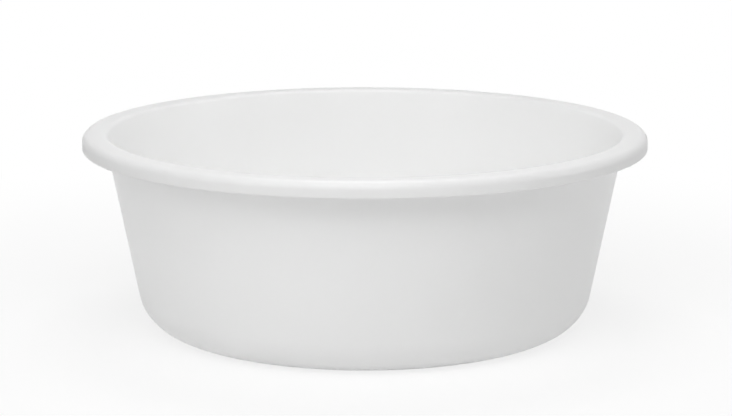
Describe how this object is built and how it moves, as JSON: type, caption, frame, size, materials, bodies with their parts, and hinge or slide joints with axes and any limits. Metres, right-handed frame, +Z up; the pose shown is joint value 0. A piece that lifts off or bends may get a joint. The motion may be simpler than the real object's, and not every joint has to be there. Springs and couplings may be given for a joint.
{
  "type": "washing up bowl",
  "caption": "Round white plastic washing up bowl with a leaning wall, a rounded bottom edge and a flat turned-over rim with a short hanging skirt.",
  "frame": {"origin": "centre of the foot, on the surface that the bowl stands on", "axes": "+Z up along the bowl's centre line; the bowl is round, so X and Y are any two level directions"},
  "size_m": [0.38, 0.38, 0.1335],
  "materials": {
    "bowl": "satin"
  },
  "bodies": {
    "root": {"bowl": "bowl"}
  },
  "joints": []
}
